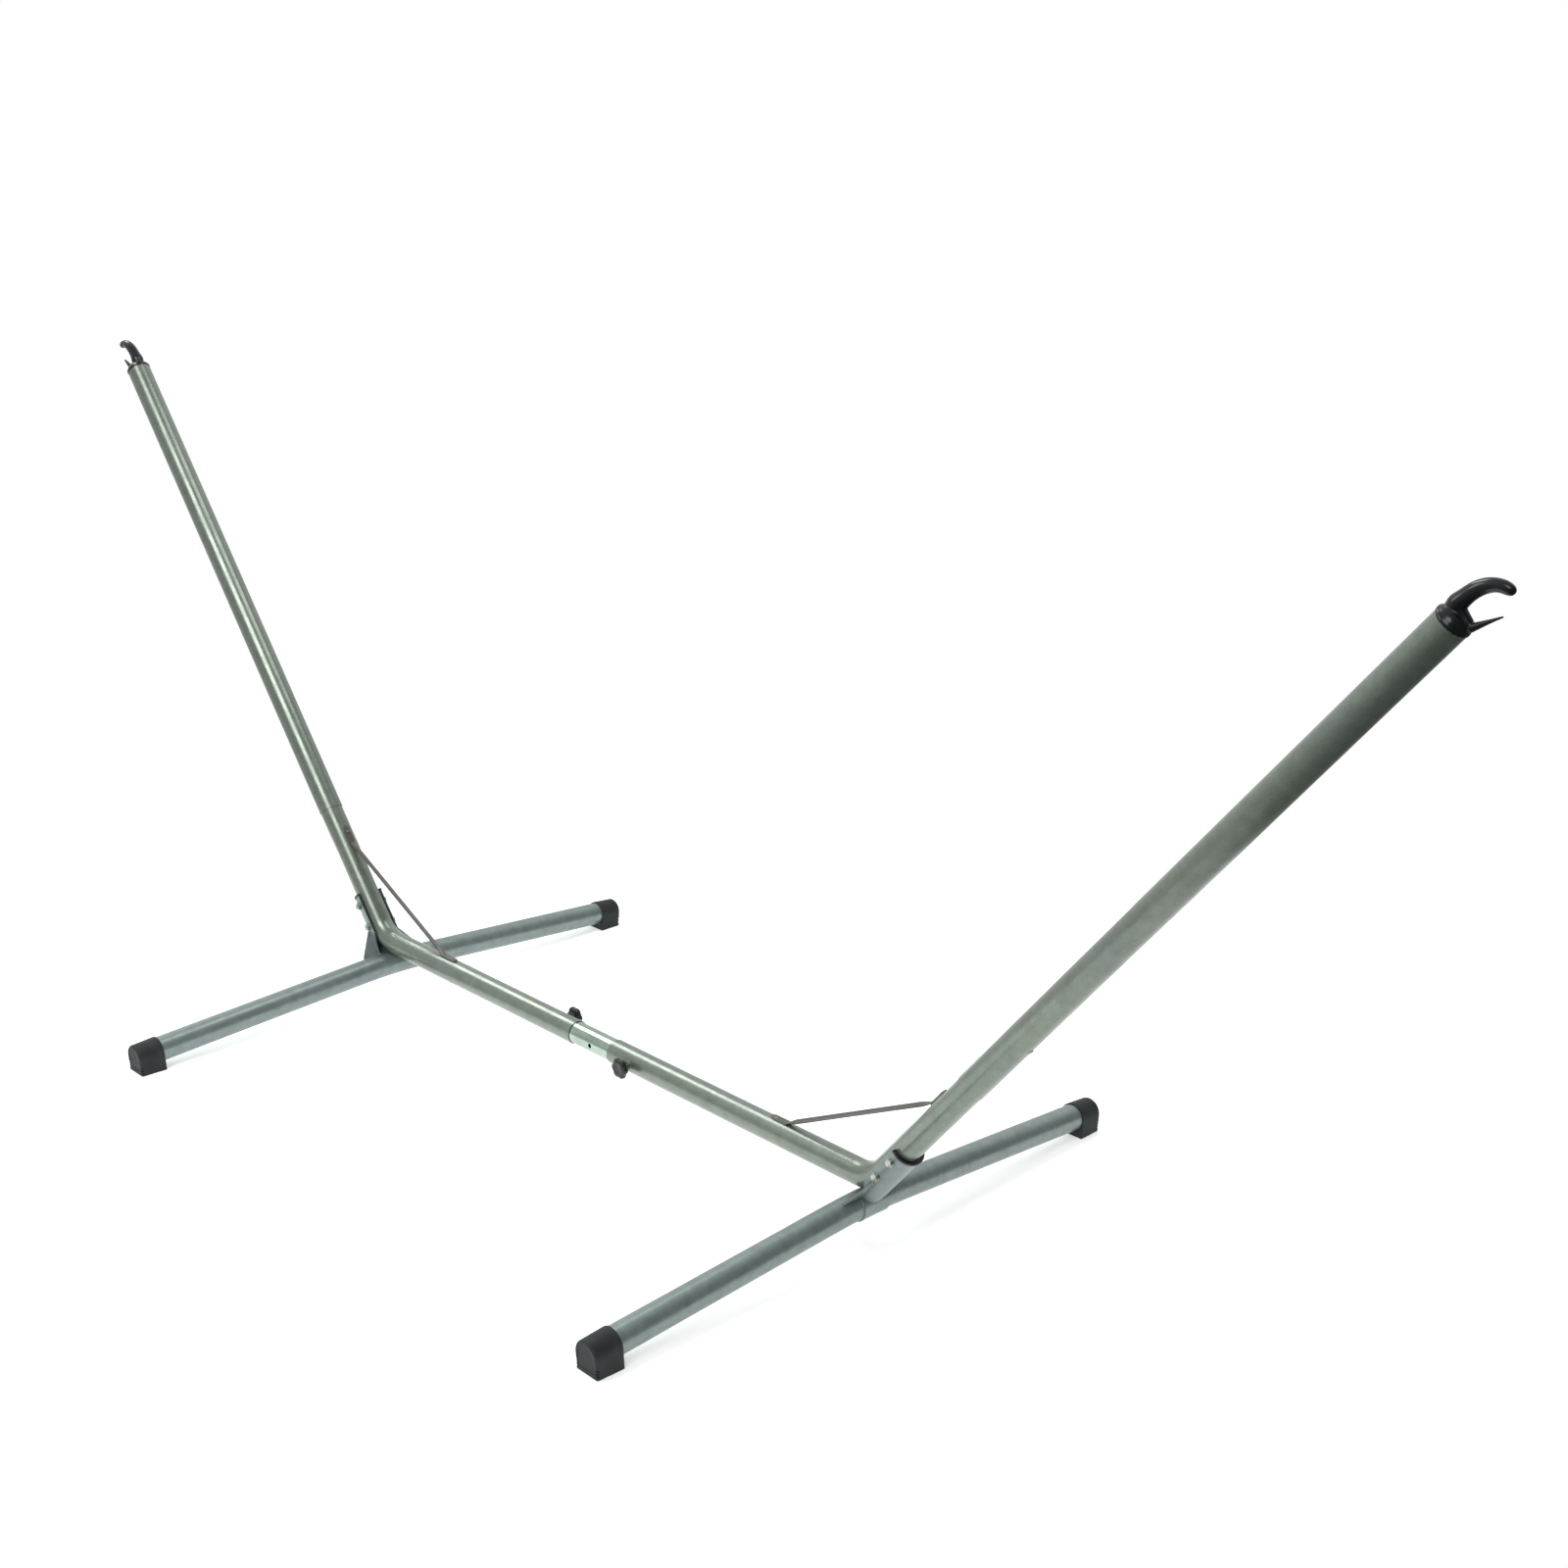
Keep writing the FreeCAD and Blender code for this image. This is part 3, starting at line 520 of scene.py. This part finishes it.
def studio():
    """White surroundings to look at, and a dimmer fill with a window, so that the tubes keep dark sides."""
    world = bpy.data.worlds.new("studio")
    world.use_nodes = True
    tree = world.node_tree
    tree.nodes.clear()
    seen = node(tree, "Background", Color=rgb(1, 1, 1), Strength=1.0).outputs[0]
    broad = ramp(tree, facing(tree, (-0.78, 0.12, 0.45)), -0.5, 1.0, 0.14, 0.86)
    window = ramp(tree, facing(tree, (-0.15, 0.80, 0.58)), 0.86, 0.97, 0.0, 0.5)
    fill = node(tree, "Math", {"operation": "ADD"})
    tree.links.new(broad, fill.inputs[0])
    tree.links.new(window, fill.inputs[1])
    lit = node(tree, "Background", Color=rgb(0.97, 1.0, 0.99), Strength=fill.outputs[0]).outputs[0]
    mixed = node(tree, "MixShader", Fac=node(tree, "LightPath").outputs["Is Camera Ray"])
    tree.links.new(lit, mixed.inputs[1])
    tree.links.new(seen, mixed.inputs[2])
    tree.links.new(mixed.outputs[0], node(tree, "OutputWorld").inputs[0])
    bpy.context.scene.world = world


def camera():
    """Camera at its place, turned by yaw and pitch, then rolled about its own view."""
    ahead = Vector((math.cos(YAW) * math.cos(PITCH), math.sin(YAW) * math.cos(PITCH), math.sin(PITCH)))
    level_right = ahead.cross(Vector((0, 0, 1))).normalized()
    level_up = level_right.cross(ahead)
    right = level_right * math.cos(ROLL) + level_up * math.sin(ROLL)
    up = level_up * math.cos(ROLL) - level_right * math.sin(ROLL)
    lens = bpy.data.cameras.new("camera")
    lens.lens, lens.sensor_width, lens.clip_end = LENS, SENSOR, 200.0
    eye = bpy.data.objects.new("camera", lens)
    eye.matrix_world = Matrix.Translation(EYE) @ Matrix((right, up, -ahead)).transposed().to_4x4()
    bpy.context.scene.collection.objects.link(eye)
    bpy.context.scene.camera = eye


floor()
studio()
sun("key", (0.285, -0.657, 0.696), 0.8, 30)
softbox("left", (-0.45, -1.70, 2.50), (-0.5, 0.0, 0.4), 0.75, 20.0)
softbox("over", (-0.45, 0.50, 2.60), (-1.30, 0.0, 0.85), 0.60, 11.0)
sun("back", (-0.72, 0.06, 0.68), 0.7, 20)
camera()
bpy.context.scene.view_settings.view_transform = "Standard"
